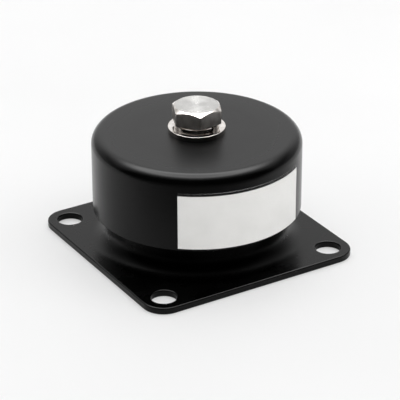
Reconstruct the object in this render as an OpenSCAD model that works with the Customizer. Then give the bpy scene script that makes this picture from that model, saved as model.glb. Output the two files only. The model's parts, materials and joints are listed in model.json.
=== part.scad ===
/* [Base plate] */
// Side of the square base plate
plate_w = 65; // [63:0.5:80]
// Thickness of the sheet that the base plate is pressed from
plate_t = 2; // [1.6:0.1:2.4]
// Distance between neighbouring mounting holes
hole_pitch = 52.5; // [50:0.5:54]
// Diameter of the mounting holes
hole_d = 7; // [5:0.5:8]
// Outer diameter of the neck that is drawn up from the plate
neck_d = 49; // [46:0.5:51]
// Height of the neck's flat top above the mounting surface
neck_h = 16; // [14:0.5:18]
// Radius of the sweep from the plate up into the neck
foot_r = 5; // [3:0.5:6]
// Outer radius of the bend round the neck's top
bend_r = 3.2; // [2.6:0.1:3.6]
// Diameter of the window in the neck's top
window_d = 24; // [22:0.5:26]

/* [Cap] */
// Outer diameter of the cap
cap_d = 57.8; // [56:0.1:64]
// Height of the cap's top above the mounting surface
cap_top = 33.5; // [32:0.1:38]
// Height of the cap's rim above the mounting surface
cap_rim = 11.5; // [8:0.1:13]
// Thickness of the cap's sheet
cap_t = 1.2; // [0.8:0.1:1.6]
// Outer radius of the cap's shoulder
shoulder_r = 3.2; // [2:0.1:5]
// Radius of the soft edge round the cap's rim
rim_edge_r = 0.3; // [0.1:0.05:0.35]

/* [Rubber] */
// Height of the bell's foot ring
bell_foot_h = 2; // [1.5:0.1:3]
// Width of flat steel left bare round the bell's foot
bell_inset = 0.3; // [0.2:0.1:1]
// Thickness of the pad where it lines the window
pad_wall = 2.5; // [2:0.1:3]
// Thickness of the pad's lip, which the core lands on at full stroke
pad_lip_t = 1.5; // [1:0.1:2]
// Reach of the pad's lip past the window
pad_lip_reach = 2.5; // [2:0.1:3]
// Thickness of the pad below the neck's top, which takes the rebound
pad_drop = 3; // [2:0.1:3.5]
// Reach of the pad's lower flange past the window
pad_flange_reach = 5; // [4:0.1:6]
// Radius of the pad's moulded edges
pad_edge_r = 0.6; // [0.3:0.1:0.7]

/* [Core] */
// Diameter of the core's flange, under the cap
flange_d = 36; // [33:0.5:38]
// Thickness of the core's flange
flange_t = 2.5; // [2:0.1:3.5]
// Diameter of the collar that stops the downward travel
collar_d = 24; // [22:0.5:25]
// Diameter of the shank that passes through the pad
shank_d = 14; // [13:0.5:16]
// Diameter of the tail that holds the rebound washer
tail_d = 11; // [10.5:0.1:12]
// Diameter of the head that the tail is riveted over to
rivet_d = 14.6; // [13.5:0.1:17]
// Height of that riveted head
rivet_h = 1.6; // [1.2:0.1:2.4]
// Downward travel until the collar lands on the pad
stroke = 5; // [3:0.1:6]
// Outer diameter of the rebound washer
rebound_d = 32; // [28:0.5:36]
// Thickness of the rebound washer
rebound_t = 2; // [1.5:0.1:2.5]

/* [Bolt and washers] */
// Thread diameter of the bolt
bolt_d = 8; // [6:0.5:8]
// Length of the bolt under its head
bolt_len = 25; // [16:1:28]
// Distance across the flats of the head
head_af = 12.6; // [12.3:0.1:14]
// Distance across the head's rounded corners
head_corner_d = 14.2; // [13.9:0.1:15]
// Height of the head, with its bearing face
head_h = 4.8; // [4:0.1:6]
// Diameter of the flat on top of the head
head_top_d = 12; // [11:0.1:12.2]
// Drop of the head's chamfer at the rounded corners
chamfer_drop = 0.8; // [0.5:0.1:1.2]
// Diameter of the bearing face under the head
bearing_d = 12; // [11.5:0.1:12.2]
// Height of that bearing face
bearing_h = 0.3; // [0.2:0.1:0.6]
// Angle that the head stands turned by
head_turn = 7; // [0:1:60]
// Outer diameter of the flat washer
washer_d = 15.8; // [14:0.1:18]
// Thickness of the flat washer
washer_t = 1.6; // [1.2:0.1:2]
// Outer diameter of the spring washer
spring_d = 12.4; // [12:0.1:13]
// Thickness of the spring washer
spring_t = 1.4; // [1.2:0.1:2.2]
// Width of the split in the spring washer
split_w = 1; // [0.5:0.1:2]
// Slope of that split from the upright
split_slope = 25; // [0:1:40]
// Angle that the split stands round from the plate's front edge
split_turn = 12; // [-180:1:180]

/* [Label] */
// Length of the label round the cap
label_w = 39.5; // [20:0.5:60]
// Height of the label
label_h = 15.8; // [8:0.1:17]
// Thickness of the label
label_t = 0.15; // [0.1:0.05:0.3]
// Height of the label's lower edge above the cap's rim
label_lift = 0.5; // [0.3:0.1:2]
// Angle that the label's middle stands round from the plate's front edge
label_turn = -2.8; // [-180:0.1:180]
// Thickness of the clear film over the label
film_t = 0.05; // [0.03:0.01:0.1]
// Width of bare cap that the film covers above the label
film_edge = 0.9; // [0.3:0.1:1.5]

/* [Clearances] */
// Gap at full stroke between the core's collar and the pad
stop_gap = 0.1; // [0.05:0.05:0.3]
// Gap all round between the bell and the core's collar
bell_gap = 0.7; // [0.4:0.1:1]
// Gap all round between the bell's foot and the pad's lip
foot_gap = 0.5; // [0.3:0.1:1]
// Gap all round between the bolt and the core's bore
thread_gap = 0.05; // [0.02:0.01:0.1]
// Gap all round between the bolt and the holes in the cap and washers
bolt_gap = 0.3; // [0.1:0.05:0.5]
// Gap all round between the core's tail and the rebound washer
tail_gap = 0.05; // [0.02:0.01:0.1]

/* [Hidden] */
$fn = 128;
ARC_STEPS = 12;
EDGE_STEPS = 4;

neck_r = neck_d / 2;
window_r = window_d / 2;
corner_r = (plate_w - hole_pitch) / 2;
sweep_r = neck_r + foot_r;
flat_r = neck_r - bend_r;

pad_top = neck_h + pad_lip_t;
pad_bottom = neck_h - plate_t - pad_drop;
pad_bore_r = window_r - pad_wall;
pad_lip_r = window_r + pad_lip_reach;
pad_flange_r = window_r + pad_flange_reach;

core_top = cap_top - cap_t;
flange_z = core_top - flange_t;
collar_z = pad_top + stroke + stop_gap;
rebound_z = pad_bottom - rebound_t;
tail_z = rebound_z - rivet_h;
bore_r = bolt_d / 2 + thread_gap;
bolt_hole_r = bolt_d / 2 + bolt_gap;

bell_foot_r = flat_r - bell_inset;
bell_foot_bore_r = pad_lip_r + foot_gap;
bell_top_r = flange_d / 2 - bell_inset;
bell_bore_r = collar_d / 2 + bell_gap;

spring_z = cap_top + washer_t;
bearing_z = spring_z + spring_t;
head_top = bearing_z + head_h;
corner_z = head_top - chamfer_drop;

label_z = cap_rim + label_lift;

// Points along an arc in the (radius, height) plane, from angle a0 to a1
function arc(r, z, radius, a0, a1, steps = ARC_STEPS) =
    [for (i = [0:steps]) let (a = a0 + (a1 - a0) * i / steps)
        [r + radius * cos(a), z + radius * sin(a)]];

// Section of a flat ring whose four edges are chamfered
function ring_section(inner_r, outer_r, z, height, edge) = [
    [inner_r + edge, z], [outer_r - edge, z],
    [outer_r, z + edge], [outer_r, z + height - edge],
    [outer_r - edge, z + height], [inner_r + edge, z + height],
    [inner_r, z + height - edge], [inner_r, z + edge]
];

module turned(section) {
    rotate_extrude() polygon(section);
}

// The square blank, with its corners round the same centres as the holes
module plate_outline() {
    half = hole_pitch / 2;
    square([plate_w, hole_pitch], center = true);
    square([hole_pitch, plate_w], center = true);
    for (x = [-half, half], y = [-half, half])
        translate([x, y]) circle(r = corner_r);
}

module plate_holes() {
    half = hole_pitch / 2;
    for (x = [-half, half], y = [-half, half])
        translate([x, y]) circle(d = hole_d);
}

// One sheet: a flat flange that sweeps up into a neck, which turns in round a window
module base_plate() {
    sweep_z = plate_t + foot_r;
    bend_z = neck_h - bend_r;
    color("#1c1c1d") union() {
        linear_extrude(plate_t) difference() {
            plate_outline();
            plate_holes();
            circle(r = sweep_r);
        }
        turned(concat(
            arc(sweep_r, sweep_z, foot_r, 270, 180),
            arc(flat_r, bend_z, bend_r, 0, 90),
            [[window_r, neck_h], [window_r, neck_h - plate_t]],
            arc(flat_r, bend_z, bend_r - plate_t, 90, 0),
            arc(sweep_r, sweep_z, foot_r + plate_t, 180, 270)
        ));
    }
}

// The spring: a moulded bell, bonded to the neck's flat top and to the core's flange
module rubber_bell() {
    outer_sweep = bell_foot_r - bell_top_r;
    inner_sweep = bell_foot_bore_r - bell_bore_r;
    foot_top = neck_h + bell_foot_h;
    color("#2b2a29") turned(concat(
        [[bell_foot_bore_r, neck_h], [bell_foot_r, neck_h]],
        arc(bell_foot_r, foot_top + outer_sweep, outer_sweep, 270, 180),
        [[bell_top_r, flange_z], [bell_bore_r, flange_z]],
        arc(bell_bore_r, foot_top, inner_sweep, 90, 0)
    ));
}

// A grommet clipped into the window, with a lip for the bump and a thick flange for the rebound
module rebound_pad() {
    e = pad_edge_r;
    lip_in = neck_h - plate_t;
    color("#2b2a29") turned(concat(
        arc(pad_bore_r + e, pad_bottom + e, e, 180, 270, EDGE_STEPS),
        arc(pad_flange_r - e, pad_bottom + e, e, 270, 360, EDGE_STEPS),
        [[pad_flange_r, lip_in], [window_r, lip_in], [window_r, neck_h], [pad_lip_r, neck_h]],
        arc(pad_lip_r - e, pad_top - e, e, 0, 90, EDGE_STEPS),
        arc(pad_bore_r + e, pad_top - e, e, 90, 180, EDGE_STEPS)
    ));
}

// A turned spool: flange, stop collar, shank and a tail that is riveted over the rebound washer
module core() {
    collar_r = collar_d / 2;
    collar_edge = 0.5;
    rivet_r = rivet_d / 2;
    rivet_edge = rivet_h / 2;
    color("#8d8f92") turned(concat(
        [[bore_r, tail_z]],
        arc(rivet_r - rivet_edge, tail_z + rivet_edge, rivet_edge, 270, 360, EDGE_STEPS),
        [
            [rivet_r, rebound_z], [tail_d / 2, rebound_z],
            [tail_d / 2, pad_bottom], [shank_d / 2, pad_bottom],
            [shank_d / 2, collar_z], [collar_r - collar_edge, collar_z],
            [collar_r, collar_z + collar_edge], [collar_r, flange_z],
            [flange_d / 2, flange_z], [flange_d / 2, core_top], [bore_r, core_top]
        ]
    ));
}

module rebound_washer() {
    edge = 0.3;
    color("#a2a4a6") turned(
        ring_section(tail_d / 2 + tail_gap, rebound_d / 2, rebound_z, rebound_t, edge)
    );
}

// A drawn cup, open below, that the bolt clamps down onto the core
module cap() {
    r = cap_d / 2;
    inner_r = r - cap_t;
    e = rim_edge_r;
    color("#1c1c1d") turned(concat(
        arc(inner_r + e, cap_rim + e, e, 180, 270, EDGE_STEPS),
        arc(r - e, cap_rim + e, e, 270, 360, EDGE_STEPS),
        arc(r - shoulder_r, cap_top - shoulder_r, shoulder_r, 0, 90),
        [[bolt_hole_r, cap_top], [bolt_hole_r, core_top]],
        arc(r - shoulder_r, cap_top - shoulder_r, shoulder_r - cap_t, 90, 0)
    ));
}

module flat_washer() {
    edge = 0.2;
    color("#c9c7c2") turned(
        ring_section(bolt_hole_r, washer_d / 2, cap_top, washer_t, edge)
    );
}

// A split ring, drawn flat by the bolt, with its split on the slope that bites
module spring_washer() {
    edge = 0.15;
    color("#b9b7b2") difference() {
        turned(ring_section(bolt_hole_r, spring_d / 2, spring_z, spring_t, edge));
        rotate([0, 0, split_turn])
            translate([0, -spring_d / 2, spring_z + spring_t / 2])
            rotate([0, split_slope, 0])
            cube([split_w, spring_d, 3 * spring_t], center = true);
    }
}

// A hexagon head with a bearing face and a turned chamfer, on a plain shank
module hex_bolt() {
    shank_end = bearing_z - bolt_len;
    hex_z = bearing_z + bearing_h;
    tip = 0.8;
    color("#cfccc6") union() {
        intersection() {
            rotate([0, 0, head_turn])
                translate([0, 0, hex_z])
                cylinder(d = head_af / cos(30), h = head_top - hex_z, $fn = 6);
            turned([
                [0, hex_z], [head_corner_d / 2, hex_z], [head_corner_d / 2, corner_z],
                [head_top_d / 2, head_top], [0, head_top]
            ]);
        }
        turned([
            [0, shank_end], [bolt_d / 2 - tip, shank_end], [bolt_d / 2, shank_end + tip],
            [bolt_d / 2, bearing_z], [bearing_d / 2, bearing_z],
            [bearing_d / 2, corner_z], [0, corner_z]
        ]);
    }
}

// A section on the cap's wall, wrapped round it as far as the label goes
module wrapped(section) {
    wrap = label_w / (PI * cap_d) * 360;
    rotate([0, 0, label_turn - 90 - wrap / 2])
        rotate_extrude(angle = wrap)
        translate([cap_d / 2, label_z])
        polygon(section);
}

// A thin sheet stuck round the front of the cap
module rating_label() {
    color("#e9e8e4")
        wrapped([[0, 0], [label_t, 0], [label_t, label_h], [0, label_h]]);
}

// A clear film over the label, which steps down onto the cap above it
module label_film() {
    outer = label_t + film_t;
    top = label_h + film_edge;
    color("#dfe3e6", 0.3)
        wrapped([
            [label_t, 0], [outer, 0], [outer, label_h + film_t], [film_t, label_h + film_t],
            [film_t, top], [0, top], [0, label_h], [label_t, label_h]
        ]);
}

base_plate();
rubber_bell();
rebound_pad();
core();
rebound_washer();
cap();
flat_washer();
spring_washer();
hex_bolt();
rating_label();
label_film();
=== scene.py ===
# %% [markdown]
# A rubber anti-vibration mount
#
# This script dresses a finished mechanical model for its picture. The mount has a square pressed plate, a
# black cap over a rubber spring, and a bolt that holds the machine's foot. The model comes in as a fixed
# frame: its pieces have their true size and place, and everything made here is fitted to them. Units are
# metres, +Z is up, and the plate's underside stands on z = 0.

# %% Load the frame
import json
import math

import bmesh
import bpy
from mathutils import Matrix, Vector


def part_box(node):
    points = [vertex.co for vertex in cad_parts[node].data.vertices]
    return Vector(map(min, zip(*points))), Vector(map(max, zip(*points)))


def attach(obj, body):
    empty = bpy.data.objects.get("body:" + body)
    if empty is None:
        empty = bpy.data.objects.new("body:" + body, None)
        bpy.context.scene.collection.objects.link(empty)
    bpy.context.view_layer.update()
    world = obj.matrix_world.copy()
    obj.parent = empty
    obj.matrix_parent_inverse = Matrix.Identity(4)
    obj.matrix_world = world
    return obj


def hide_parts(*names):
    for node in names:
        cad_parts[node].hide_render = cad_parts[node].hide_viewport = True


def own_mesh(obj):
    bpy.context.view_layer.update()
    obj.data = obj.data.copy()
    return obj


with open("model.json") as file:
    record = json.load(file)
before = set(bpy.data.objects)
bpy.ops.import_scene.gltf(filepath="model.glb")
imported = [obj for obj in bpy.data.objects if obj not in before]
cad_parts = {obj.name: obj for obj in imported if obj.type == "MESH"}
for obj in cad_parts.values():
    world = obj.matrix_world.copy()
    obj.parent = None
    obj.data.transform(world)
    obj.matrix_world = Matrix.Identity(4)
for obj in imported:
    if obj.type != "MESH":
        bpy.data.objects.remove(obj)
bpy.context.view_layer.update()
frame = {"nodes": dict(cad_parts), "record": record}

print("nodes:", sorted(frame["nodes"]))

# %% [markdown]
# The sizes
#
# A piece that replaces a node has to lie exactly where that node is. So the outer sizes are read from the
# frame, and only what a box can't tell, such as the sheet's thickness or the radius of a bend, is named
# here. Points closer than NEAR to a place count as there, and points closer than MERGE become one.

# %% Read the sizes
MM = 0.001
RING = 160
ARC_STEPS = 12

plate_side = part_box("base_plate")[1].x * 2
neck_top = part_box("base_plate")[1].z
cap_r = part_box("cap")[1].x
cap_rim, cap_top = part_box("cap")[0].z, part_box("cap")[1].z
washer_r, washer_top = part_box("flat_washer")[1].x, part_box("flat_washer")[1].z
spring_r, spring_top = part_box("spring_washer")[1].x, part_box("spring_washer")[1].z
shank_end, head_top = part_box("hex_bolt")[0].z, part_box("hex_bolt")[1].z
label_low, label_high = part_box("rating_label")[0].z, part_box("rating_label")[1].z
film_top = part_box("label_film")[1].z
pad_low, pad_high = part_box("rebound_pad")[0].z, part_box("rebound_pad")[1].z
pad_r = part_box("rebound_pad")[1].x
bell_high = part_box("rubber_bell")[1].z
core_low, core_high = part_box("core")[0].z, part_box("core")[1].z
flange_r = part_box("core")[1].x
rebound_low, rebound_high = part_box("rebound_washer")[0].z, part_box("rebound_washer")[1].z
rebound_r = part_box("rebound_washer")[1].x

holes = next(m for m in frame["record"]["mounts"] if m["name"] == "mounting_holes")["dims"]
hole_r = holes["hole_r_mm"] * MM
hole_half = holes["spacing_x_mm"] / 2 * MM

PLATE_T = 2 * MM
NECK_R = 24.5 * MM
SWEEP_R = 5 * MM
BEND_R = 3.2 * MM
WINDOW_R = 12 * MM
CAP_T = 1.2 * MM
SHOULDER_R = 3.2 * MM
BOLT_R = 4 * MM
BOLT_HOLE_R = 4.3 * MM
NEAR = 0.01 * MM
MERGE = 0.002 * MM
print(f"plate {plate_side:.4f} m, cap radius {cap_r:.4f} m, overall height {head_top:.4f} m")

# %% [markdown]
# Working by hand, in code
#
# Blender's operators act on whatever is selected. These helpers put one object into edit mode with nothing
# selected, and go back to object mode.

# %% Going in and out of edit mode
def leave_edit_mode():
    if bpy.context.object and bpy.context.object.mode != "OBJECT":
        bpy.ops.object.mode_set(mode="OBJECT")


def select_nothing():
    """Leaves edit mode with nothing selected, as every new primitive needs."""
    leave_edit_mode()
    bpy.ops.object.select_all(action="DESELECT")


def only(piece):
    """Makes the piece the one selected and active object."""
    select_nothing()
    piece.select_set(True)
    bpy.context.view_layer.objects.active = piece


def edit(piece, mode="VERT"):
    """Enters edit mode on the piece with nothing selected."""
    only(piece)
    bpy.ops.object.mode_set(mode="EDIT")
    bpy.ops.mesh.select_mode(type=mode)
    bpy.ops.mesh.select_all(action="DESELECT")


def named(name):
    """Names the object that an operator has just added, with its place moved into its mesh."""
    piece = bpy.context.object
    piece.name = piece.data.name = name
    bpy.ops.object.transform_apply(location=True, rotation=True, scale=True)
    return piece


def apply_modifier(piece, kind, **settings):
    """Adds one modifier, sets it and applies it."""
    only(piece)
    modifier = piece.modifiers.new(kind.lower(), kind)
    for key, value in settings.items():
        setattr(modifier, key, value)
    bpy.ops.object.modifier_apply(modifier=modifier.name)

# %% [markdown]
# Picking by place
#
# A hand would click the faces it wants. Code picks them by where they are and which way they face, so it
# finds them again after every change to a size.

# %% Picking, welding and turning outwards
def pick(piece, kind, test):
    """Selects the points, edges or faces that pass the test, and says how many."""
    mesh = bmesh.from_edit_mesh(piece.data)
    found = 0
    for part in getattr(mesh, kind):
        wanted = bool(test(part))
        part.select_set(wanted)
        found += wanted
    bmesh.update_edit_mesh(piece.data)
    return found


def pick_faces(piece, test):
    """Tests each face's centre and normal."""
    return pick(piece, "faces", lambda face: test(face.calc_center_median(), face.normal))


def pick_edges(piece, test):
    """Tests each edge's two end points, and both have to pass."""
    return pick(piece, "edges", lambda edge: all(test(vertex.co) for vertex in edge.verts))


def weld():
    """Merges the points of the piece in edit mode that share a place."""
    bpy.ops.mesh.select_all(action="SELECT")
    bpy.ops.mesh.remove_doubles(threshold=MERGE)


def face_outwards():
    """Turns every face of the piece in edit mode outwards."""
    bpy.ops.mesh.select_all(action="SELECT")
    bpy.ops.mesh.normals_make_consistent(inside=False)


def radius(point):
    return math.hypot(point.x, point.y)

# %% [markdown]
# The camera
#
# The photograph was taken through a long lens from the front left, 27 degrees above the table. The lens,
# the distance and the angles were found by fitting the plate's edges and the round rims to the picture, so
# the camera is built from those numbers. A long lens keeps the far and near edges nearly parallel.

# %% Place the camera
CAMERA_LENS = 185.7
CAMERA_SENSOR = 36
CAMERA_ELEVATION = math.radians(26.99)
CAMERA_AZIMUTH = math.radians(-31.275)
CAMERA_ROLL = math.radians(0.18)
CAMERA_DISTANCE = 578.3 * MM
CAMERA_RIGHT = 0.83 * MM
CAMERA_UP = 10.92 * MM

back = Vector((
    math.sin(CAMERA_AZIMUTH) * math.cos(CAMERA_ELEVATION),
    -math.cos(CAMERA_AZIMUTH) * math.cos(CAMERA_ELEVATION),
    math.sin(CAMERA_ELEVATION),
))
right = Vector((math.cos(CAMERA_AZIMUTH), math.sin(CAMERA_AZIMUTH), 0))
up = back.cross(right)
place = CAMERA_DISTANCE * back + CAMERA_RIGHT * right + CAMERA_UP * up

bpy.ops.object.camera_add()
camera = bpy.context.object
camera.name = "photo_camera"
camera.data.lens = CAMERA_LENS
camera.data.sensor_width = CAMERA_SENSOR
turned_right = math.cos(CAMERA_ROLL) * right - math.sin(CAMERA_ROLL) * up
turned_up = math.sin(CAMERA_ROLL) * right + math.cos(CAMERA_ROLL) * up
axes = Matrix((turned_right, turned_up, back)).transposed()
camera.matrix_world = Matrix.Translation(place) @ axes.to_4x4()
bpy.context.scene.camera = camera
print("camera at", [round(v, 3) for v in place])

# %% [markdown]
# Nodes in code
#
# The room's light and every finish are small networks of nodes. These helpers add a node, join two sockets
# and do sums, so that each network can be read as a short recipe.

# %% Node helpers
def add_node(tree, kind, **settings):
    """Adds a node. A setting that the node itself lacks is a value for its socket of that name."""
    node = tree.nodes.new("ShaderNode" + kind)
    for key, value in settings.items():
        if hasattr(node, key):
            setattr(node, key, value)
        else:
            node.inputs[key.replace("_", " ")].default_value = value
    return node


def join(tree, source, target):
    tree.links.new(source, target)


def calculate(tree, operation, *values):
    """A sum in a Math node, where each value is a number or another node's socket."""
    node = add_node(tree, "Math", operation=operation)
    for value, socket in zip(values, node.inputs):
        if isinstance(value, bpy.types.NodeSocket):
            join(tree, value, socket)
        else:
            socket.default_value = value
    return node.outputs[0]

# %% [markdown]
# From a place to a level
#
# Patterns depend on where a point is or which way a ray goes. These turn a place or a direction into a
# number, and a number into a level.

# %% Places and levels
def map_range(tree, value, start, end):
    """Moves a value from its range at the start to another at the end, and no further."""
    ramp = add_node(tree, "MapRange", From_Min=start[0], From_Max=start[1], To_Min=end[0], To_Max=end[1])
    join(tree, value, ramp.inputs["Value"])
    return ramp.outputs[0]


def from_axis(tree, place):
    """How far a place lies from the mount's upright axis."""
    level = add_node(tree, "VectorMath", operation="MULTIPLY")
    level.inputs[1].default_value = (1, 1, 0)
    length = add_node(tree, "VectorMath", operation="LENGTH")
    join(tree, place, level.inputs[0])
    join(tree, level.outputs[0], length.inputs[0])
    return length.outputs["Value"]


def along(tree, place, direction):
    """How far a place or a ray goes along a direction."""
    node = add_node(tree, "VectorMath", operation="DOT_PRODUCT")
    node.inputs[1].default_value = direction
    join(tree, place, node.inputs[0])
    return node.outputs["Value"]


def levels(tree, share, stops):
    """Turns a share from 0 to 1 into a level, by (share, level) stops on a colour ramp."""
    brightest = max(level for _, level in stops)
    ramp = add_node(tree, "ValToRGB")
    spots = ramp.color_ramp.elements
    for number, (place, level) in enumerate(stops):
        spot = spots[number] if number < 2 else spots.new(place)
        spot.position = place
        spot.color = (level / brightest,) * 3 + (1,)
    join(tree, share, ramp.inputs["Fac"])
    return calculate(tree, "MULTIPLY", ramp.outputs["Color"], brightest)

# %% [markdown]
# The light
#
# The mount was photographed on a white table, against a white backdrop, with one soft box overhead and a
# dark room behind the camera. Glossy black paint has hardly any colour of its own, so what it shows is this
# room: the backdrop on the cap's flat top, the soft box as a bright line along its shoulder, and the dark
# room in the black band just below. So the world is painted by direction: a strip that runs from the
# backdrop's foot, over the top, to the camera's side, and on it an oval soft box. ROOM gives the strip's
# level by its angle in degrees from the backdrop's foot, ASIDE dims it to the left and right, and BOX gives
# the soft box's level from its middle outwards. An image of a studio would do the same, but here each level
# can be set by itself.

# %% Paint the room
ROOM = [(0, 1.2), (17, 1.2), (28, 1.9), (36, 1.5), (44, 0.5), (52, 0.05), (70, 0.01), (163, 0), (180, 0.05)]
ASIDE = [(0, 1.0), (0.4, 1.0), (0.8, 0.45), (1.0, 0.35)]
BOX = [
    (0, 8.5), (0.4, 10.5), (0.6, 15), (0.78, 11), (0.9, 7),
    (1.0, 3.5), (1.12, 2), (1.3, 1.2), (1.5, 0.4), (1.7, 0),
]
BOX_MIDDLE = 78
BOX_REACH = 30
BOX_WIDTH = 0.64
BOX_ASIDE = -0.03
ACROSS = (math.cos(CAMERA_AZIMUTH), math.sin(CAMERA_AZIMUTH), 0)
AWAY = (-math.sin(CAMERA_AZIMUTH), math.cos(CAMERA_AZIMUTH), 0)


def room_level(tree):
    """How bright the painted room is where a ray goes: the strip and the soft box together."""
    ray = add_node(tree, "TexCoord").outputs["Generated"]
    across = along(tree, ray, ACROSS)
    turn = calculate(tree, "ARCTAN2", along(tree, ray, (0, 0, 1)), along(tree, ray, AWAY))
    share = calculate(tree, "DIVIDE", turn, math.pi)
    strip = levels(tree, share, [(angle / 180, level) for angle, level in ROOM])
    sides = levels(tree, calculate(tree, "ABSOLUTE", across), ASIDE)
    room = calculate(tree, "MULTIPLY", strip, sides)
    edge = BOX[-1][0]
    from_middle = add_node(tree, "CombineXYZ")
    past = calculate(tree, "SUBTRACT", share, BOX_MIDDLE / 180)
    join(tree, calculate(tree, "MULTIPLY", past, 180 / BOX_REACH / edge), from_middle.inputs["X"])
    beside = calculate(tree, "SUBTRACT", across, BOX_ASIDE)
    join(tree, calculate(tree, "DIVIDE", beside, BOX_WIDTH * edge), from_middle.inputs["Y"])
    distance = add_node(tree, "VectorMath", operation="LENGTH")
    join(tree, from_middle.outputs[0], distance.inputs[0])
    box = levels(tree, distance.outputs["Value"], [(out / edge, level) for out, level in BOX])
    return calculate(tree, "ADD", room, box)


print("room stops:", len(ROOM), "soft box stops:", len(BOX))

# %% [markdown]
# Who sees the room
#
# Only the camera and the reflections see the painted room. An even dome of the same white lights the
# surfaces, because a spot as small as the soft box would light them hard and grainy.

# %% Light the world
FALLING = 0.975


def light_world():
    world = bpy.data.worlds.new("white_studio")
    bpy.context.scene.world = world
    world.use_nodes = True
    tree = world.node_tree
    tree.nodes.clear()
    path = add_node(tree, "LightPath").outputs
    looks = calculate(tree, "MAXIMUM", path["Is Camera Ray"], path["Is Glossy Ray"])
    looks = calculate(tree, "MAXIMUM", looks, path["Is Transmission Ray"])
    strength = add_node(tree, "Mix")
    strength.inputs["A"].default_value = FALLING
    background = add_node(tree, "Background")
    output = add_node(tree, "OutputWorld")
    join(tree, looks, strength.inputs["Factor"])
    join(tree, room_level(tree), strength.inputs["B"])
    join(tree, strength.outputs["Result"], background.inputs["Strength"])
    join(tree, background.outputs[0], output.inputs["Surface"])


light_world()
print("world nodes:", len(bpy.context.scene.world.node_tree.nodes))

# %% [markdown]
# The lamps
#
# The dome lights the label and the table evenly, and two soft lamps give that light a direction. The one at
# the right makes the label's right end the brighter one, and the one behind lays a soft shadow towards the
# camera. Neither is seen in the gloss, where the painted soft box is what shows.

# %% Add the lamps
def add_lamp(name, place, size, power):
    """A soft square lamp that looks at the middle of the mount, and isn't seen in the gloss."""
    bpy.ops.object.light_add(type="AREA", location=place)
    lamp = bpy.context.object
    lamp.name = name
    lamp.data.size = size
    lamp.data.energy = power
    lamp.visible_glossy = False
    aim = Vector((0, 0, cap_top / 2)) - lamp.location
    lamp.rotation_euler = aim.to_track_quat("-Z", "Y").to_euler()


add_lamp("right_fill", place=(0.8, -0.7, 1.45), size=1.4, power=8)
add_lamp("back_fill", place=(0.9, 1.8, 2.6), size=2.4, power=20)
bpy.context.scene.view_settings.view_transform = "Standard"

# %% [markdown]
# The table
#
# The table is one wide white disc. It is staging, not part of the mount, and it keeps the soft shadow under
# the plate's edges.

# %% Lay the table
TABLE_R = 4.0
bpy.ops.mesh.primitive_circle_add(vertices=96, radius=TABLE_R, fill_type="NGON")
table = named("white_table")
print("table radius:", TABLE_R, "m")

# %% [markdown]
# Materials
#
# Every finish starts from the same few nodes: Object coordinates, a pattern, a ramp and the Principled
# shader. What several finishes share goes into node groups, each with its own input values.

# %% Finish helpers
def new_finish(name):
    """A material with an empty tree, a Principled shader and the piece's Object coordinates."""
    finish = bpy.data.materials.new(name)
    finish.use_nodes = True
    tree = finish.node_tree
    tree.nodes.clear()
    shader = add_node(tree, "BsdfPrincipled")
    output = add_node(tree, "OutputMaterial")
    join(tree, shader.outputs["BSDF"], output.inputs["Surface"])
    place = add_node(tree, "TexCoord").outputs["Object"]
    return finish, tree, shader, place


def new_group(name, size_name, size, output):
    """A node group that takes a place and one size, and puts out one value."""
    group = bpy.data.node_groups.new(name, "ShaderNodeTree")
    group.interface.new_socket("Place", in_out="INPUT", socket_type="NodeSocketVector")
    socket = group.interface.new_socket(size_name, in_out="INPUT", socket_type="NodeSocketFloat")
    socket.default_value = size
    group.interface.new_socket(output, in_out="OUTPUT", socket_type="NodeSocketFloat")
    return group, group.nodes.new("NodeGroupInput"), group.nodes.new("NodeGroupOutput")


def use_group(tree, group, place, size):
    """Puts a shared group into a material, with a size of its own."""
    node = tree.nodes.new("ShaderNodeGroup")
    node.node_tree = group
    join(tree, place, node.inputs[0])
    node.inputs[1].default_value = size
    return node.outputs[0]

# %% [markdown]
# Shared effects
#
# Paint, rubber and plating are never even. The group called soft blotches gives slow clouds for colour and
# gloss, fine grain gives the small bumps of paint or moulded rubber, and turned rings gives the marks that
# a lathe leaves round an upright axis. Each is built once and used by several finishes with its own values.

# %% Build the shared groups
def noise_group(name, size, output, spread, **settings):
    """Noise whose clouds have the group's Size. The spread is the range that becomes 0 to 1."""
    group, start, end = new_group(name, "Size", size, output)
    noise = add_node(group, "TexNoise", **settings)
    join(group, start.outputs["Place"], noise.inputs["Vector"])
    join(group, calculate(group, "DIVIDE", 1, start.outputs["Size"]), noise.inputs["Scale"])
    join(group, map_range(group, noise.outputs["Fac"], spread, (0, 1)), end.inputs[output])
    return group


def turned_rings():
    group, start, end = new_group("turned_rings", "Pitch", 0.2 * MM, "Height")
    rings = add_node(group, "TexNoise", noise_dimensions="1D", Detail=2.0, Scale=1.0)
    out = from_axis(group, start.outputs["Place"])
    join(group, calculate(group, "DIVIDE", out, start.outputs["Pitch"]), rings.inputs["W"])
    join(group, rings.outputs["Fac"], end.inputs["Height"])
    return group


blotches = noise_group("soft_blotches", 6 * MM, "Mask", spread=(0.35, 0.65), Detail=3.0, Roughness=0.55)
grain = noise_group("fine_grain", 1 * MM, "Height", spread=(0, 1), Detail=2.0, Roughness=0.4)
rings = turned_rings()
print("shared groups:", [g.name for g in bpy.data.node_groups])

# %% [markdown]
# Small recipes that most finishes share
#
# The first blends two colours by a mask. The second turns a group's height into bumps of a stated depth in
# metres, so that a paint's orange peel stays a few hundredths of a millimetre deep. The last is how most
# finishes start: clouds that vary both the colour and the gloss.

# %% Blend and bump
def blend_colour(tree, mask, dark, light, target):
    mix = add_node(tree, "Mix", data_type="RGBA")
    mix.inputs[6].default_value = (*dark, 1)
    mix.inputs[7].default_value = (*light, 1)
    join(tree, mask, mix.inputs["Factor"])
    join(tree, mix.outputs[2], target)


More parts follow.
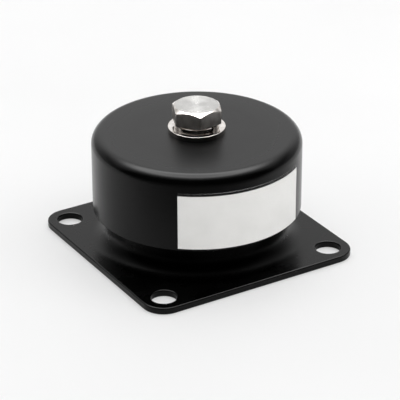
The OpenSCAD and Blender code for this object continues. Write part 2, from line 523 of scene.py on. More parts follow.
def bump(tree, shader, height, depth, strength):
    node = add_node(tree, "Bump", Strength=strength, Distance=depth)
    join(tree, height, node.inputs["Height"])
    join(tree, node.outputs["Normal"], shader.inputs["Normal"])


def clouded(name, size, dark, light, gloss):
    """A new finish whose colour and gloss vary in clouds of the given size."""
    finish, tree, shader, place = new_finish(name)
    clouds = use_group(tree, blotches, place, size)
    blend_colour(tree, clouds, dark, light, shader.inputs["Base Color"])
    join(tree, map_range(tree, clouds, (0, 1), gloss), shader.inputs["Roughness"])
    return finish, tree, shader, place

# %% [markdown]
# Black paint
#
# The plate and the cap are steel, sprayed satin black. Such paint has hardly any colour, so only its gloss
# tells it from a hole: slow clouds and a fine orange peel break that gloss up, and a low index of
# refraction keeps it weak. Round the bolt the paint is rougher, which blurs the bolt's reflection in the
# cap. Under the cap the paint turns to a nearly black metal, by its distance from the axis, so that it
# shines only at a glance. That is thin dry spray, and also painted shade: it dims the gloss where the
# cap shades the neck. The plate's flat faces get a duller mix of their own.

# %% Mix the black paint
ROUGH_EDGE = 8 * MM
ROUGH_MORE = 0.14
DRY_SHADE_EDGE = 1.5 * MM
DRY_SHADE_SHARE = 0.85


def black_paint(name, sheen, gloss, rough_r=0, dry_shade_r=0):
    """Satin paint, rougher within one radius, and within the other a dry film that paints shade under the
    cap.
    """
    finish, tree, shader, place = new_finish(name)
    clouds = use_group(tree, blotches, place, 9 * MM)
    blend_colour(tree, clouds, (0.0003,) * 3, (0.0009,) * 3, shader.inputs["Base Color"])
    bump(tree, shader, use_group(tree, grain, place, 1.3 * MM), depth=0.02 * MM, strength=0.25)
    shader.inputs["IOR"].default_value = sheen
    out = from_axis(tree, place)
    # Painted shade: under the cap the paint turns to a dark metal, which dims its gloss there, for thin dry
    # spray and for the cap's shade.
    dry_shade = map_range(tree, out, (dry_shade_r - DRY_SHADE_EDGE, dry_shade_r), (DRY_SHADE_SHARE, 0))
    join(tree, dry_shade, shader.inputs["Metallic"])
    even = map_range(tree, clouds, (0, 1), gloss)
    more = map_range(tree, out, (rough_r - ROUGH_EDGE, rough_r), (ROUGH_MORE, 0))
    join(tree, calculate(tree, "ADD", even, more), shader.inputs["Roughness"])
    return finish


FINISHES = {"black_paint": black_paint("satin_black_paint", 1.25, (0.22, 0.26), rough_r=25 * MM)}
plate_paint = black_paint("duller_black_paint", 1.2, (0.25, 0.3), dry_shade_r=30 * MM)
print("paints:", FINISHES["black_paint"].name, plate_paint.name)

# %% [markdown]
# Rubber
#
# Moulded rubber is matt and nearly black, with a grey bloom in patches where wax has come to its skin. The
# bloom is slow clouds in colour and roughness, and a fine grain stands for the skin that the mould leaves.

# %% Mix the rubber
def moulded_rubber():
    finish, tree, shader, place = clouded(
        "moulded_rubber", 5 * MM, dark=(0.010,) * 3, light=(0.022, 0.021, 0.020), gloss=(0.55, 0.75))
    bump(tree, shader, use_group(tree, grain, place, 0.4 * MM), depth=0.03 * MM, strength=0.5)
    return finish


FINISHES["rubber"] = moulded_rubber()
print("rubber:", FINISHES["rubber"].name)

# %% [markdown]
# Nickel and zinc plate
#
# The bolt and its washers are nickel plated, faintly warm and bright. The head's six sides were drawn
# through a die before plating, which leaves them duller than the turned faces, so they get the same plate
# with a rougher gloss. The core and its washer are zinc plated, greyer and duller still, with the lathe's
# rings under the zinc.

# %% Mix the platings
def nickel_plate(name, gloss):
    finish, tree, shader, place = clouded(
        name, 1.5 * MM, dark=(0.50, 0.47, 0.445), light=(0.62, 0.595, 0.57), gloss=gloss)
    bump(tree, shader, use_group(tree, grain, place, 0.5 * MM), depth=0.01 * MM, strength=0.4)
    shader.inputs["Metallic"].default_value = 1
    return finish


def zinc_plate():
    finish, tree, shader, place = clouded(
        "dull_zinc_plate", 2.5 * MM, dark=(0.42, 0.42, 0.40), light=(0.58, 0.57, 0.54), gloss=(0.32, 0.48))
    bump(tree, shader, use_group(tree, rings, place, 0.3 * MM), depth=0.02 * MM, strength=0.4)
    shader.inputs["Metallic"].default_value = 1
    return finish


FINISHES["bright_steel"] = nickel_plate("bright_nickel_plate", (0.07, 0.14))
FINISHES["plated_steel"] = zinc_plate()
bolt_flats = nickel_plate("drawn_bolt_flats", (0.3, 0.38))
print("platings:", FINISHES["bright_steel"].name, FINISHES["plated_steel"].name, bolt_flats.name)

# %% [markdown]
# The turned face
#
# A lathe leaves fine rings on the bolt's flat top. Each ring spreads light across itself, so the top shows
# light and dark sectors that meet in its middle. Bumps alone can't give that at this size, so the shader is
# anisotropic, and its tangent runs round the axis.

# %% Mix the turned face
def turned_face():
    finish, tree, shader, place = clouded(
        "turned_bolt_face", 3 * MM, dark=(0.41, 0.405, 0.395), light=(0.46, 0.455, 0.445), gloss=(0.22, 0.28))
    bump(tree, shader, use_group(tree, rings, place, 0.15 * MM), depth=0.005 * MM, strength=0.3)
    round_axis = add_node(tree, "Tangent", direction_type="RADIAL", axis="Z")
    join(tree, round_axis.outputs["Tangent"], shader.inputs["Tangent"])
    shader.inputs["Metallic"].default_value = 1
    shader.inputs["Anisotropic"].default_value = 0.6
    shader.inputs["Anisotropic Rotation"].default_value = 0.25
    return finish


turned_top = turned_face()
print("turned face:", turned_top.name)

# %% [markdown]
# Label and film
#
# The label is white film with a slightly uneven sheen. The clear film over it is all but invisible, and
# only its cut edge above the label shows, as a fine pale line. That line is a painted highlight, the glint
# of the edge: the alpha is almost nothing, except within a hair of the top edge, and there it grows from
# left to right, as the glint brightens. Glass would do for the film too, but a low alpha is quicker to
# render and keeps its place in the exported model.

# %% Mix the label and the film
STUCK_LOW = 0.15 * MM
FILM_EDGE_W = 0.05 * MM
FILM_CLEAR = 0.006
# The film's pale top edge is a painted highlight, a glint that grows from left to right.
FILM_EDGE = (0.01, 0.1)
FILM_GLINT_SPAN = (-16 * MM, -9 * MM)
film_end = film_top - STUCK_LOW


def clear_film():
    finish, tree, shader, place = clouded(
        "clear_film", 4 * MM, dark=(0.80, 0.80, 0.79), light=(0.86, 0.86, 0.85), gloss=(0.12, 0.2))
    split = add_node(tree, "SeparateXYZ")
    join(tree, place, split.inputs[0])
    # Painted highlight: the pale line at the film's top edge, stronger towards the right.
    edge_glint = map_range(tree, split.outputs["X"], FILM_GLINT_SPAN, FILM_EDGE)
    edge = map_range(tree, split.outputs["Z"], (film_end - FILM_EDGE_W, film_end), (0, 1))
    join(tree, calculate(tree, "MULTIPLY_ADD", edge_glint, edge, FILM_CLEAR), shader.inputs["Alpha"])
    return finish


FINISHES["label_white"] = clouded(
    "white_label_film", 6 * MM, dark=(0.77, 0.765, 0.745), light=(0.81, 0.805, 0.785), gloss=(0.32, 0.42))[0]
FINISHES["clear_film"] = clear_film()
print("finishes:", {slot: finish.name for slot, finish in FINISHES.items()})

# %% [markdown]
# The table's white
#
# The table has to be white to the camera and still keep the soft shadow. Light alone would have to be
# strong enough to bleach the label, so part of what the camera sees is a glow of the table's own, and its
# colour is that much lower. TABLE_LIGHT is the light that falls on it, so the glow gives back just what the
# lower colour takes. In the gloss the table dims towards the camera's side, where the photographer keeps
# the light off: that is the black band on the cap's side.

# %% Mix the table's white
TABLE_LIFT = 0.40
TABLE_WHITE = 0.857
TABLE_LIGHT = 0.96
TABLE_IN_GLOSS = [(0, 0.95), (0.12, 0.95), (0.3, 0.2), (0.45, 0.1), (1, 0.04)]
GLOSS_REACH = 300 * MM


def white_table():
    """White for the camera, and TABLE_IN_GLOSS in reflections, by the distance towards the camera."""
    finish, tree, shader, place = new_finish("white_table_top")
    clouds = use_group(tree, blotches, place, 150 * MM)
    ahead = calculate(tree, "MULTIPLY", along(tree, place, AWAY), -1 / GLOSS_REACH)
    path = add_node(tree, "LightPath").outputs
    lit = calculate(tree, "MULTIPLY_ADD", path["Is Camera Ray"], -TABLE_LIFT, TABLE_WHITE)
    glow = calculate(tree, "MULTIPLY", path["Is Camera Ray"], TABLE_LIGHT * TABLE_LIFT)
    seen = add_node(tree, "Mix", data_type="RGBA")
    join(tree, path["Is Glossy Ray"], seen.inputs["Factor"])
    join(tree, lit, seen.inputs[6])
    join(tree, levels(tree, ahead, TABLE_IN_GLOSS), seen.inputs[7])
    join(tree, seen.outputs[2], shader.inputs["Base Color"])
    shader.inputs["Emission Color"].default_value = (1, 1, 1, 1)
    join(tree, glow, shader.inputs["Emission Strength"])
    join(tree, map_range(tree, clouds, (0, 1), (0.7, 0.8)), shader.inputs["Roughness"])
    return finish


table.data.materials.append(white_table())
print("table:", table.data.materials[0].name)

# %% [markdown]
# Turned and drawn forms
#
# Most pieces here are round. Each starts as one circle of edges, which is then extruded ring by ring along
# the piece's section: the ring moves up or down, and is scaled out from the axis or in towards it. Every
# ring has the same number of points, so the surface is made of clean quads, and bends stay smooth.

# %% Drawing rings along a section
def arc(centre_r, centre_z, bend_r, start, end, steps=ARC_STEPS):
    """(radius, height) pairs along an arc, its angles in degrees from straight outwards."""
    turns = [math.radians(start + (end - start) * i / steps) for i in range(steps + 1)]
    return [(centre_r + bend_r * math.cos(t), centre_z + bend_r * math.sin(t)) for t in turns]


def chamfered(inner_r, outer_r, low, high, edge):
    """The closed section of a flat ring with its four edges cut off."""
    return [
        (inner_r + edge, low), (outer_r - edge, low), (outer_r, low + edge), (outer_r, high - edge),
        (outer_r - edge, high), (inner_r + edge, high), (inner_r, high - edge), (inner_r, low + edge),
    ]


def pull_ring(section):
    """Extrudes the selected ring of edges through the section, from its first point to its last."""
    for (from_r, from_z), (to_r, to_z) in zip(section, section[1:]):
        bpy.ops.mesh.extrude_edges_move(TRANSFORM_OT_translate={"value": (0, 0, to_z - from_z)})
        share = to_r / from_r
        if abs(share - 1) > 1e-9:
            bpy.ops.transform.resize(value=(share, share, 1), center_override=(0, 0, 0))


def drawn(name, section, closed=False):
    """A surface of rings round the axis. A closed section is welded into a solid ring."""
    select_nothing()
    start_r, start_z = section[0]
    bpy.ops.mesh.primitive_circle_add(vertices=RING, radius=start_r, location=(0, 0, start_z))
    piece = named(name)
    edit(piece, "EDGE")
    bpy.ops.mesh.select_all(action="SELECT")
    pull_ring(section + section[:1] if closed else section)
    weld()
    face_outwards()
    leave_edit_mode()
    return piece

# %% [markdown]
# Finishing a piece
#
# A real edge is never perfectly sharp. A narrow bevel catches a line of light, and that line is often all
# that separates two black faces. The bevel's faces take their normals from the flat faces beside them, so
# large flat faces stay flat and only the bevel turns. Then the piece gets its finish, stands for its node,
# which is hidden, and rides on its body. Where some of its faces look different, they are coated with a
# second finish afterwards.

# %% Edges, shading and hand-over
def soften(piece, width, segments=2, angle=30):
    """Rounds every edge sharper than the angle, and shades the piece smooth across the bevel."""
    smooth(piece, 89)
    apply_modifier(piece, "BEVEL", width=width, segments=segments, limit_method="ANGLE",
                   angle_limit=math.radians(angle), use_clamp_overlap=True, harden_normals=True)


def smooth(piece, angle):
    only(piece)
    bpy.ops.object.shade_smooth_by_angle(angle=math.radians(angle))


def report(piece):
    """Prints the piece's size, how many faces it has, and how many edges are open."""
    mesh = bmesh.new()
    mesh.from_mesh(piece.data)
    open_edges = sum(not edge.is_manifold for edge in mesh.edges)
    volume = mesh.calc_volume(signed=True) / MM ** 3
    mesh.free()
    size = [round(v / MM, 2) for v in piece.dimensions]
    faces = len(piece.data.polygons)
    print(f"{piece.name}: {size} mm, {faces} faces, {open_edges} open edges, {volume:.0f} mm3")


def hand_over(piece, node, slot_name, body):
    """Gives the piece its finish and its body, and hides the node that it stands for."""
    piece.data.materials.clear()
    piece.data.materials.append(FINISHES[slot_name])
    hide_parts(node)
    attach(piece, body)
    report(piece)


def coat(piece, finish, test):
    """Gives the faces that pass the test a finish of their own."""
    piece.data.materials.append(finish)
    edit(piece, "FACE")
    found = pick_faces(piece, test)
    piece.active_material_index = len(piece.data.materials) - 1
    bpy.ops.object.material_slot_assign()
    leave_edit_mode()
    print(f"{found} faces of {piece.name} have {finish.name}")

# %% [markdown]
# The base plate
#
# The base is one sheet of steel, blanked to a square, drawn up in a press into a neck, and painted. It
# could be cut from a block with Booleans, but a pressed part is easier to model the way it is made: draw
# the sheet's outer face alone, and let Solidify give it its thickness, so that the wall is as thick in the
# bends as on the flat.

# %% Draw the sheet's outline
STRIP = 0.8 * MM
corner_r = plate_side / 2 - hole_half


def from_outline(at):
    """How far inside the plate's rounded outline a point near it lies."""
    return corner_r - math.hypot(max(abs(at.x) - hole_half, 0), max(abs(at.y) - hole_half, 0))


select_nothing()
bpy.ops.mesh.primitive_plane_add(size=plate_side, location=(0, 0, PLATE_T))
base = named("pressed_base_plate")
edit(base, "FACE")
bpy.ops.mesh.select_all(action="SELECT")
bpy.ops.mesh.bevel(offset=corner_r, segments=ARC_STEPS, affect="VERTICES")
bpy.ops.mesh.select_all(action="SELECT")
bpy.ops.mesh.inset(thickness=STRIP)
bpy.ops.mesh.delete(type="ONLY_FACE")
print("faces in the strip along the outline:", len(bmesh.from_edit_mesh(base.data).faces))

# %% [markdown]
# Filling between the loops
#
# Fill joins the strip, the four holes and the foot of the neck with triangles, some of them long and thin.
# Long triangles shade badly where a bevel cuts them. So each loop gets a narrow strip of quads of its own,
# along which the bevel can slide: Inset made the one along the outline, and every hole is drawn too wide
# and pulled in.

# %% Fill the flange and pull the holes in
foot_r = NECK_R + SWEEP_R + 0.3 * MM
wide_r = hole_r + STRIP
centres = [Vector((x, y, PLATE_T)) for x in (-hole_half, hole_half) for y in (-hole_half, hole_half)]
for centre in centres:
    bpy.ops.mesh.primitive_circle_add(vertices=RING // 2, radius=wide_r, location=centre)
bpy.ops.mesh.primitive_circle_add(vertices=RING, radius=foot_r, location=(0, 0, PLATE_T))
edit(base, "EDGE")
loops = pick_edges(base, lambda at: from_outline(at) > STRIP / 2)
bpy.ops.mesh.fill(use_beauty=True)
for centre in centres:
    bpy.ops.mesh.select_all(action="DESELECT")
    pick_edges(base, lambda at: abs((at - centre).length - wide_r) < NEAR)
    bpy.ops.mesh.extrude_edges_move()
    share = hole_r / wide_r
    bpy.ops.transform.resize(value=(share, share, 1), center_override=centre)
print("edges in the loops:", loops, "faces:", len(bmesh.from_edit_mesh(base.data).faces))

# %% [markdown]
# The neck
#
# The press draws the neck up out of the same sheet, with a wide bend at its foot, and turns its top in
# round the window that holds the rubber pad. Here the ring of edges at its foot is pulled along that
# section.

# %% Draw the neck up from it
bend_centre = NECK_R - BEND_R
sweep = arc(NECK_R + SWEEP_R, PLATE_T + SWEEP_R, SWEEP_R, 270, 180)
bend = arc(bend_centre, neck_top - BEND_R, BEND_R, 0, 90)
bpy.ops.mesh.select_all(action="DESELECT")
ring = pick_edges(base, lambda at: abs(radius(at) - foot_r) < NEAR)
pull_ring([(foot_r, PLATE_T)] + sweep + bend + [(WINDOW_R, neck_top)])
weld()
face_outwards()
if pick_faces(base, lambda at, normal: normal.z < -0.9) > 0:
    bpy.ops.mesh.select_all(action="SELECT")
    bpy.ops.mesh.flip_normals()
leave_edit_mode()
print("edges round the neck's foot:", ring)

# %% [markdown]
# The sheet's thickness
#
# So far this is the outer face alone. Solidify adds the inner one, and the bevel rounds the sheared edges
# and those of the holes, where the paint catches a thin line of light.

# %% Give the sheet its thickness and soft edges
apply_modifier(base, "SOLIDIFY", thickness=PLATE_T, offset=-1, use_even_offset=True)
soften(base, width=0.4 * MM, segments=3, angle=50)
hand_over(base, "base_plate", "black_paint", "base")

# %% [markdown]
# The plate's duller paint
#
# On the real plate the paint has run smooth over the rim and the side faces, and dried duller on the flat
# faces and up the neck. Two finishes on one mesh say this best: faces are picked by their normal and their
# distance from the axis, as a hand would mask them off. Up the neck and under the cap the duller paint
# also carries painted shade, as a dark metal that dims its gloss.

# %% Give the flat faces and the neck the duller paint
coat(base, plate_paint, lambda at, normal: abs(normal.z) > 0.999 or radius(at) < foot_r)

# %% [markdown]
# The cap
#
# The cap is a cup drawn from thinner sheet. It starts as a cylinder with its bottom taken off. Bevelling
# the top rim gives the shoulder, Inset finds the bolt's hole in the flat top, and Solidify adds the wall
# inwards.

# %% Draw the cap
select_nothing()
bpy.ops.mesh.primitive_cylinder_add(
    vertices=RING, radius=cap_r, depth=cap_top - cap_rim, location=(0, 0, (cap_top + cap_rim) / 2)
)
cap = named("drawn_cap")
edit(cap, "FACE")
pick_faces(cap, lambda at, normal: normal.z < -0.9)
bpy.ops.mesh.delete(type="FACE")
edit(cap, "EDGE")
rim = pick_edges(cap, lambda at: at.z > cap_top - NEAR)
bpy.ops.mesh.bevel(offset=SHOULDER_R, segments=2 * ARC_STEPS, profile=0.5, affect="EDGES")
edit(cap, "FACE")
pick_faces(cap, lambda at, normal: normal.z > 0.9999)
bpy.ops.mesh.inset(thickness=cap_r - SHOULDER_R - BOLT_HOLE_R)
bpy.ops.mesh.delete(type="FACE")
leave_edit_mode()
print("edges bevelled round the top:", rim)
apply_modifier(cap, "SOLIDIFY", thickness=CAP_T, offset=-1, use_even_offset=True)
soften(cap, width=0.28 * MM, segments=3, angle=50)
hand_over(cap, "cap", "black_paint", "head")

# %% [markdown]
# The flat washer
#
# A washer is stamped from strip. The punch rolls its upper edge over a little and leaves the lower one
# square, so the two edges get bevels of different widths.

# %% Stamp the washer
ROLLED_EDGE = 0.12 * MM
CUT_EDGE = 0.08 * MM
BORE_EDGE = 0.2 * MM
washer = drawn("stamped_washer", closed=True, section=(
    [(BOLT_HOLE_R, cap_top), (washer_r - CUT_EDGE, cap_top), (washer_r, cap_top + CUT_EDGE)]
    + arc(washer_r - ROLLED_EDGE, washer_top - ROLLED_EDGE, ROLLED_EDGE, 0, 90, 5)
    + [(BOLT_HOLE_R + BORE_EDGE, washer_top), (BOLT_HOLE_R, washer_top - BORE_EDGE)]
))
smooth(washer, 35)
apply_modifier(washer, "WEIGHTED_NORMAL", keep_sharp=True)
hand_over(washer, "flat_washer", "bright_steel", "head")

# %% [markdown]
# The spring washer
#
# This is a ring cut through once. A turned ring is split with a thin slab, leaning over so that the two
# ends bite into the head and the washer when the bolt tries to come loose.

# %% Split the spring washer
SPLIT_AT = math.radians(-78)
SPLIT_W = 1 * MM
SPLIT_SLOPE = math.radians(25)
SPRING_EDGE = 0.15 * MM
ring_section = chamfered(BOLT_HOLE_R, spring_r, washer_top, spring_top, SPRING_EDGE)
spring = drawn("split_spring_washer", ring_section, closed=True)
middle = Vector((math.cos(SPLIT_AT), math.sin(SPLIT_AT), 0)) * (spring_r + BOLT_HOLE_R) / 2
middle.z = (washer_top + spring_top) / 2
select_nothing()
bpy.ops.mesh.primitive_cube_add(size=1)
slab = bpy.context.object
slab.scale = (SPLIT_W, 4 * MM, 6 * MM)
slab.rotation_euler = (0, SPLIT_SLOPE, SPLIT_AT + math.pi / 2)
slab.location = middle
slab = named("split_cutter")
apply_modifier(spring, "BOOLEAN", object=slab, operation="DIFFERENCE", solver="EXACT")
bpy.data.objects.remove(slab)
smooth(spring, 35)
hand_over(spring, "spring_washer", "bright_steel", "head")

# %% [markdown]
# The hexagon bolt
#
# The head is a hexagon bar whose top has been turned to a cone, which is why each side ends in a curved
# line. Modelling it the same way gives that curve for nothing: a six-sided cylinder, cut by a turned blank
# with Boolean Intersect. The helpers below turn such a bar and combine two solids. The grooves that the
# tool left on its flat top are part of the finish, not of the mesh.

# %% A turned bar, and joining solids
def turned_bar(name, section):
    """A solid of rings round the axis, with a flat face at each end."""
    select_nothing()
    start_r, start_z = section[0]
    bpy.ops.mesh.primitive_circle_add(
        vertices=RING, radius=start_r, location=(0, 0, start_z), fill_type="NGON"
    )
    piece = named(name)
    edit(piece, "EDGE")
    bpy.ops.mesh.select_all(action="SELECT")
    pick_edges(piece, lambda at: True)
    pull_ring(section)
    bpy.ops.mesh.edge_face_add()
    face_outwards()
    leave_edit_mode()
    return piece


def combine(piece, tool, operation):
    """Cuts, joins or crosses the piece with the tool, and throws the tool away."""
    apply_modifier(piece, "BOOLEAN", object=tool, operation=operation, solver="EXACT")
    bpy.data.objects.remove(tool)

# %% [markdown]
# The head
#
# The hexagon is crossed with a blank whose top is a shallow cone. A narrow round bearing face stays under
# the head, where it meets the spring washer.

# %% Cut the head
HEAD_AF = 12.6 * MM
HEAD_TURN = math.radians(7)
CORNER_R = 7.1 * MM
TOP_R = 6 * MM
CHAMFER_DROP = 0.8 * MM
BEARING_R = 6 * MM
BEARING_H = 0.3 * MM
head_foot = spring_top + BEARING_H

select_nothing()
bpy.ops.mesh.primitive_cylinder_add(
    vertices=6, radius=HEAD_AF / math.sqrt(3), depth=head_top - head_foot,
    location=(0, 0, (head_top + head_foot) / 2), rotation=(0, 0, HEAD_TURN + math.pi / 6),
)
bolt = named("hexagon_bolt")
blank = turned_bar("turned_blank", [
    (CORNER_R, head_foot - 1 * MM), (CORNER_R, head_top - CHAMFER_DROP), (TOP_R, head_top)
])
combine(bolt, blank, "INTERSECT")
soften(bolt, width=0.1 * MM, segments=2, angle=32)
report(bolt)

# %% [markdown]
# The thread
#
# The bolt's end shows inside the core when the mount is turned over, so its thread is real. One tooth's
# section goes round and up with the Screw modifier. It is made longer than the bolt, and its ragged ends
# are trimmed off by crossing it with a bar that has the bolt's true length and its chamfered tip.

# %% Cut the thread
THREAD_PITCH = 1.25 * MM
THREAD_ROOT_R = 3.3 * MM
THREAD_END = 33 * MM
TIP = 0.8 * MM
SPARE = 0.1 * MM
thread_bottom = shank_end - 2 * THREAD_PITCH
turns = math.ceil((THREAD_END - thread_bottom) / THREAD_PITCH) + 1


def lone_point(name, place):
    """A mesh of one point, selected in edit mode: a plane with three of its corners taken off."""
    select_nothing()
    bpy.ops.mesh.primitive_plane_add(size=2)
    piece = named(name)
    edit(piece)
    pick(piece, "verts", lambda vertex: vertex.co.x < 0 or vertex.co.y < 0)
    bpy.ops.mesh.delete(type="VERT")
    bpy.ops.mesh.select_all(action="SELECT")
    bpy.ops.transform.translate(value=Vector(place) - Vector((1, 1, 0)))
    return piece


# Radii, and heights as shares of the pitch.
tooth = [(THREAD_ROOT_R, 0), (THREAD_ROOT_R, 0.15), (BOLT_R, 0.5), (BOLT_R, 0.65), (THREAD_ROOT_R, 1)]
thread = lone_point("rolled_thread", (THREAD_ROOT_R, 0, thread_bottom))
for (from_r, low), (to_r, high) in zip(tooth, tooth[1:]):
    step = (to_r - from_r, 0, (high - low) * THREAD_PITCH)
    bpy.ops.mesh.extrude_region_move(TRANSFORM_OT_translate={"value": step})
leave_edit_mode()
apply_modifier(thread, "SCREW", axis="Z", screw_offset=THREAD_PITCH, iterations=turns, steps=48,
               render_steps=48, use_merge_vertices=True, merge_threshold=0.001 * MM)
edit(thread)
weld()
bpy.ops.mesh.fill_holes(sides=0)
face_outwards()
report(thread)
bar = turned_bar("threaded_length", [
    (BOLT_R - TIP, shank_end), (BOLT_R + SPARE, shank_end + TIP + SPARE), (BOLT_R + SPARE, THREAD_END)
])
combine(thread, bar, "INTERSECT")
report(thread)

# %% [markdown]
# Joining the bolt
#
# A real bolt is forged in one, so the head, the plain shank with the bearing face, and the thread become
# one solid. The parts reach a little into each other, because Boolean Union is unsure about faces that only
# touch.

# %% Join head, bearing face and shank
PLAIN_R = 3.9 * MM
INTO_HEAD = 0.5 * MM
shank = turned_bar("plain_shank", [
    (PLAIN_R, THREAD_END - NEAR), (PLAIN_R, spring_top),
    (BEARING_R, spring_top), (BEARING_R, head_foot + INTO_HEAD),
])
combine(bolt, shank, "UNION")
combine(bolt, thread, "UNION")
smooth(bolt, 25)
apply_modifier(bolt, "WEIGHTED_NORMAL", keep_sharp=True)
hand_over(bolt, "hex_bolt", "bright_steel", "head")

# %% [markdown]
# The bolt's faces
#
# Only the flat top was turned, and only the six sides were drawn. The cone between them is smooth, and
# keeps the bright plate. The sides lie farther out than the bearing face under the head, which tells the
# two apart.

# %% Give the flat top and the six sides their finishes
SIDES_FROM = 6.1 * MM
coat(bolt, turned_top, lambda at, normal: normal.z > 0.999 and at.z > head_top - NEAR)
coat(bolt, bolt_flats,
     lambda at, normal: abs(normal.z) < 0.05 and at.z > head_foot and radius(at) > SIDES_FROM)

# %% [markdown]
# The label
#
# The label is a thin blank sheet stuck round the front of the cap. A flat sheet could be bent round with a
# modifier, but spinning one upright edge round the cap's axis follows the wall exactly, and Solidify gives
# the strip its thickness. It was stuck on by hand, a hair low and with one corner a little high.

# %% Stick on the label
LABEL_T = 0.15 * MM
LABEL_LENGTH = 39.2 * MM
LABEL_TURN = math.radians(-2.5)
LABEL_SKEW = 0.35 * MM
STRIP_STEPS = 64
label_wrap = LABEL_LENGTH / cap_r
label_start = LABEL_TURN - math.pi / 2 - label_wrap / 2


def lift_corner(strip):
    """Lifts the strip's lower left corner. Proportional editing takes the rest along, less and less."""
    edit(strip)
    corner = Vector((cap_r * math.cos(label_start), cap_r * math.sin(label_start), label_low))
    mesh = bmesh.from_edit_mesh(strip.data)
    min(mesh.verts, key=lambda vertex: (vertex.co - corner).length).select_set(True)
    bpy.ops.transform.translate(
        value=(0, 0, LABEL_SKEW), use_proportional_edit=True, proportional_edit_falloff="LINEAR",
        proportional_size=LABEL_LENGTH,
    )
    leave_edit_mode()


def stick_on(name, section, thickness):
    """A strip stuck round the front of the cap: the section's edges, spun round the axis."""
    outward = Vector((math.cos(label_start), math.sin(label_start), 0))
    points = [r * outward + Vector((0, 0, z)) for r, z in section]
    strip = lone_point(name, points[0])
    for start, end in zip(points, points[1:]):
        bpy.ops.mesh.extrude_region_move(TRANSFORM_OT_translate={"value": end - start})
    bpy.ops.mesh.select_all(action="SELECT")
    bpy.ops.mesh.spin(steps=STRIP_STEPS, angle=-label_wrap, center=(0, 0, 0), axis=(0, 0, 1))
    face_outwards()
    lift_corner(strip)
    corners = strip.bound_box[0], strip.bound_box[6]
    print(f"{name} before its thickness:", [[round(v / MM, 2) for v in corner] for corner in corners])
    apply_modifier(strip, "SOLIDIFY", thickness=thickness, offset=1, use_even_offset=True)
    smooth(strip, 30)
    return strip


label_top = label_high - STUCK_LOW
label = stick_on("blank_label", [(cap_r, label_low), (cap_r, label_top)], LABEL_T)
hand_over(label, "rating_label", "label_white", "head")

# %% [markdown]
# The film over the label
#
# A strip of clear film keeps the label clean. It reaches a little above the label's top edge, where it
# steps down onto the paint, and its cut edge shows there as a fine pale line, a painted highlight in the
# film's finish. It is stuck on as the label was, from a section with that step in it, and lies a hair of
# glue off the faces below so that no two faces share a place.

# %% Lay the clear film
FILM_T = 0.04 * MM
GLUE = 0.01 * MM
film_r = cap_r + LABEL_T + GLUE
film = stick_on("clear_label_film", [
    (film_r, label_low), (film_r, label_top + GLUE), (cap_r + GLUE, label_top + GLUE),
    (cap_r + GLUE, film_end),
], FILM_T)
hand_over(film, "label_film", "clear_film", "head")

# %% [markdown]
# The rubber bell
#
# The spring itself is one moulding of soft rubber, bonded to the neck below and to the core above. Its
# sides sweep in from a wide foot. When the mount is loaded it gets shorter and flattens towards its foot;
# here it is drawn in one shape only.

# %% Mould the bell
BELL_FOOT_R = 21 * MM
BELL_FOOT_BORE_R = 15 * MM
BELL_FOOT_H = 2 * MM
BELL_TOP_R = 17.7 * MM
BELL_BORE_R = 12.7 * MM
bell_travel = 5 * MM
outer_sweep = BELL_FOOT_R - BELL_TOP_R
inner_sweep = BELL_FOOT_BORE_R - BELL_BORE_R
bell_foot = neck_top + BELL_FOOT_H
bell = drawn("moulded_bell", closed=True, section=(
    [(BELL_FOOT_BORE_R, neck_top), (BELL_FOOT_R, neck_top)]
    + arc(BELL_FOOT_R, bell_foot + outer_sweep, outer_sweep, 270, 180)
    + [(BELL_TOP_R, bell_high), (BELL_BORE_R, bell_high)]
    + arc(BELL_BORE_R, bell_foot, inner_sweep, 90, 0)
))
soften(bell, width=0.4 * MM, segments=3, angle=40)
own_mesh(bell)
hand_over(bell, "rubber_bell", "rubber", "base")

# %% [markdown]
# The rebound pad
#
# A second moulding lines the window in the neck. Its lip stops the core on the way down, and its thick
# lower flange on the way up. The mould parted round the middle of that flange, and left a fine line of
# flash there.

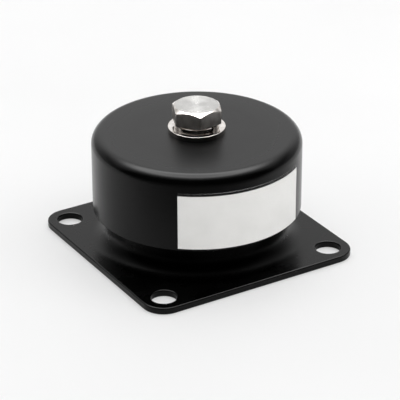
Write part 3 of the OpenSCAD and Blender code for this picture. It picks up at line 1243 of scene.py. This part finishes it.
# %% Mould the pad
PAD_BORE_R = 9.5 * MM
PAD_LIP_R = 14.5 * MM
PAD_EDGE_R = 0.6 * MM
FLASH = 0.12 * MM
flange_out = pad_r - FLASH
neck_under = neck_top - PLATE_T
flash_z = (pad_low + neck_under) / 2
e = PAD_EDGE_R
pad = drawn("moulded_rebound_pad", closed=True, section=(
    arc(PAD_BORE_R + e, pad_low + e, e, 180, 270, 5)
    + arc(flange_out - e, pad_low + e, e, 270, 360, 5)
    + [(flange_out, flash_z - FLASH), (pad_r, flash_z), (flange_out, flash_z + FLASH)]
    + [(flange_out, neck_under), (WINDOW_R, neck_under), (WINDOW_R, neck_top), (PAD_LIP_R, neck_top)]
    + arc(PAD_LIP_R - e, pad_high - e, e, 0, 90, 5)
    + arc(PAD_BORE_R + e, pad_high - e, e, 90, 180, 5)
))
smooth(pad, 35)
hand_over(pad, "rebound_pad", "rubber", "base")

# %% [markdown]
# The core
#
# The core is turned from bar: a flange under the cap, a collar that stops on the pad, a shank through it,
# and a tail that is riveted over the rebound washer. One closed section, drawn round the axis, gives all of
# it at once, where a stack of joined cylinders would leave seams.

# %% Turn the core
BORE_R = 4.05 * MM
COLLAR_R = 12 * MM
SHANK_R = 7 * MM
TAIL_R = 5.5 * MM
RIVET_R = 7.3 * MM
FLANGE_T = 2.5 * MM
LEAD = 0.5 * MM
flange_z = core_high - FLANGE_T
collar_z = pad_high + bell_travel + 0.1 * MM
dome = (rebound_low - core_low) / 2
core = drawn("turned_core", closed=True, section=(
    [(BORE_R, core_low + LEAD), (BORE_R + LEAD, core_low)]
    + arc(RIVET_R - dome, core_low + dome, dome, 270, 360, 8)
    + [(RIVET_R, rebound_low), (TAIL_R, rebound_low), (TAIL_R, pad_low), (SHANK_R, pad_low)]
    + [(SHANK_R, collar_z), (COLLAR_R - LEAD, collar_z), (COLLAR_R, collar_z + LEAD)]
    + [(COLLAR_R, flange_z), (flange_r, flange_z), (flange_r, core_high), (BORE_R, core_high)]
))
soften(core, width=0.15 * MM, segments=2, angle=50)
hand_over(core, "core", "plated_steel", "head")

# %% [markdown]
# The rebound washer
#
# A thick steel disc hangs on the core's tail, below the pad. When the machine jumps up, it stops against
# the pad, so the head can't leave the base. It is seen only from below, and a drawn ring with chamfered
# edges is enough.

# %% Stamp the rebound washer
REBOUND_BORE_R = 5.55 * MM
REBOUND_EDGE = 0.3 * MM
disc_section = chamfered(REBOUND_BORE_R, rebound_r, rebound_low, rebound_high, REBOUND_EDGE)
rebound = drawn("stamped_rebound_washer", disc_section, closed=True)
smooth(rebound, 30)
hand_over(rebound, "rebound_washer", "plated_steel", "head")
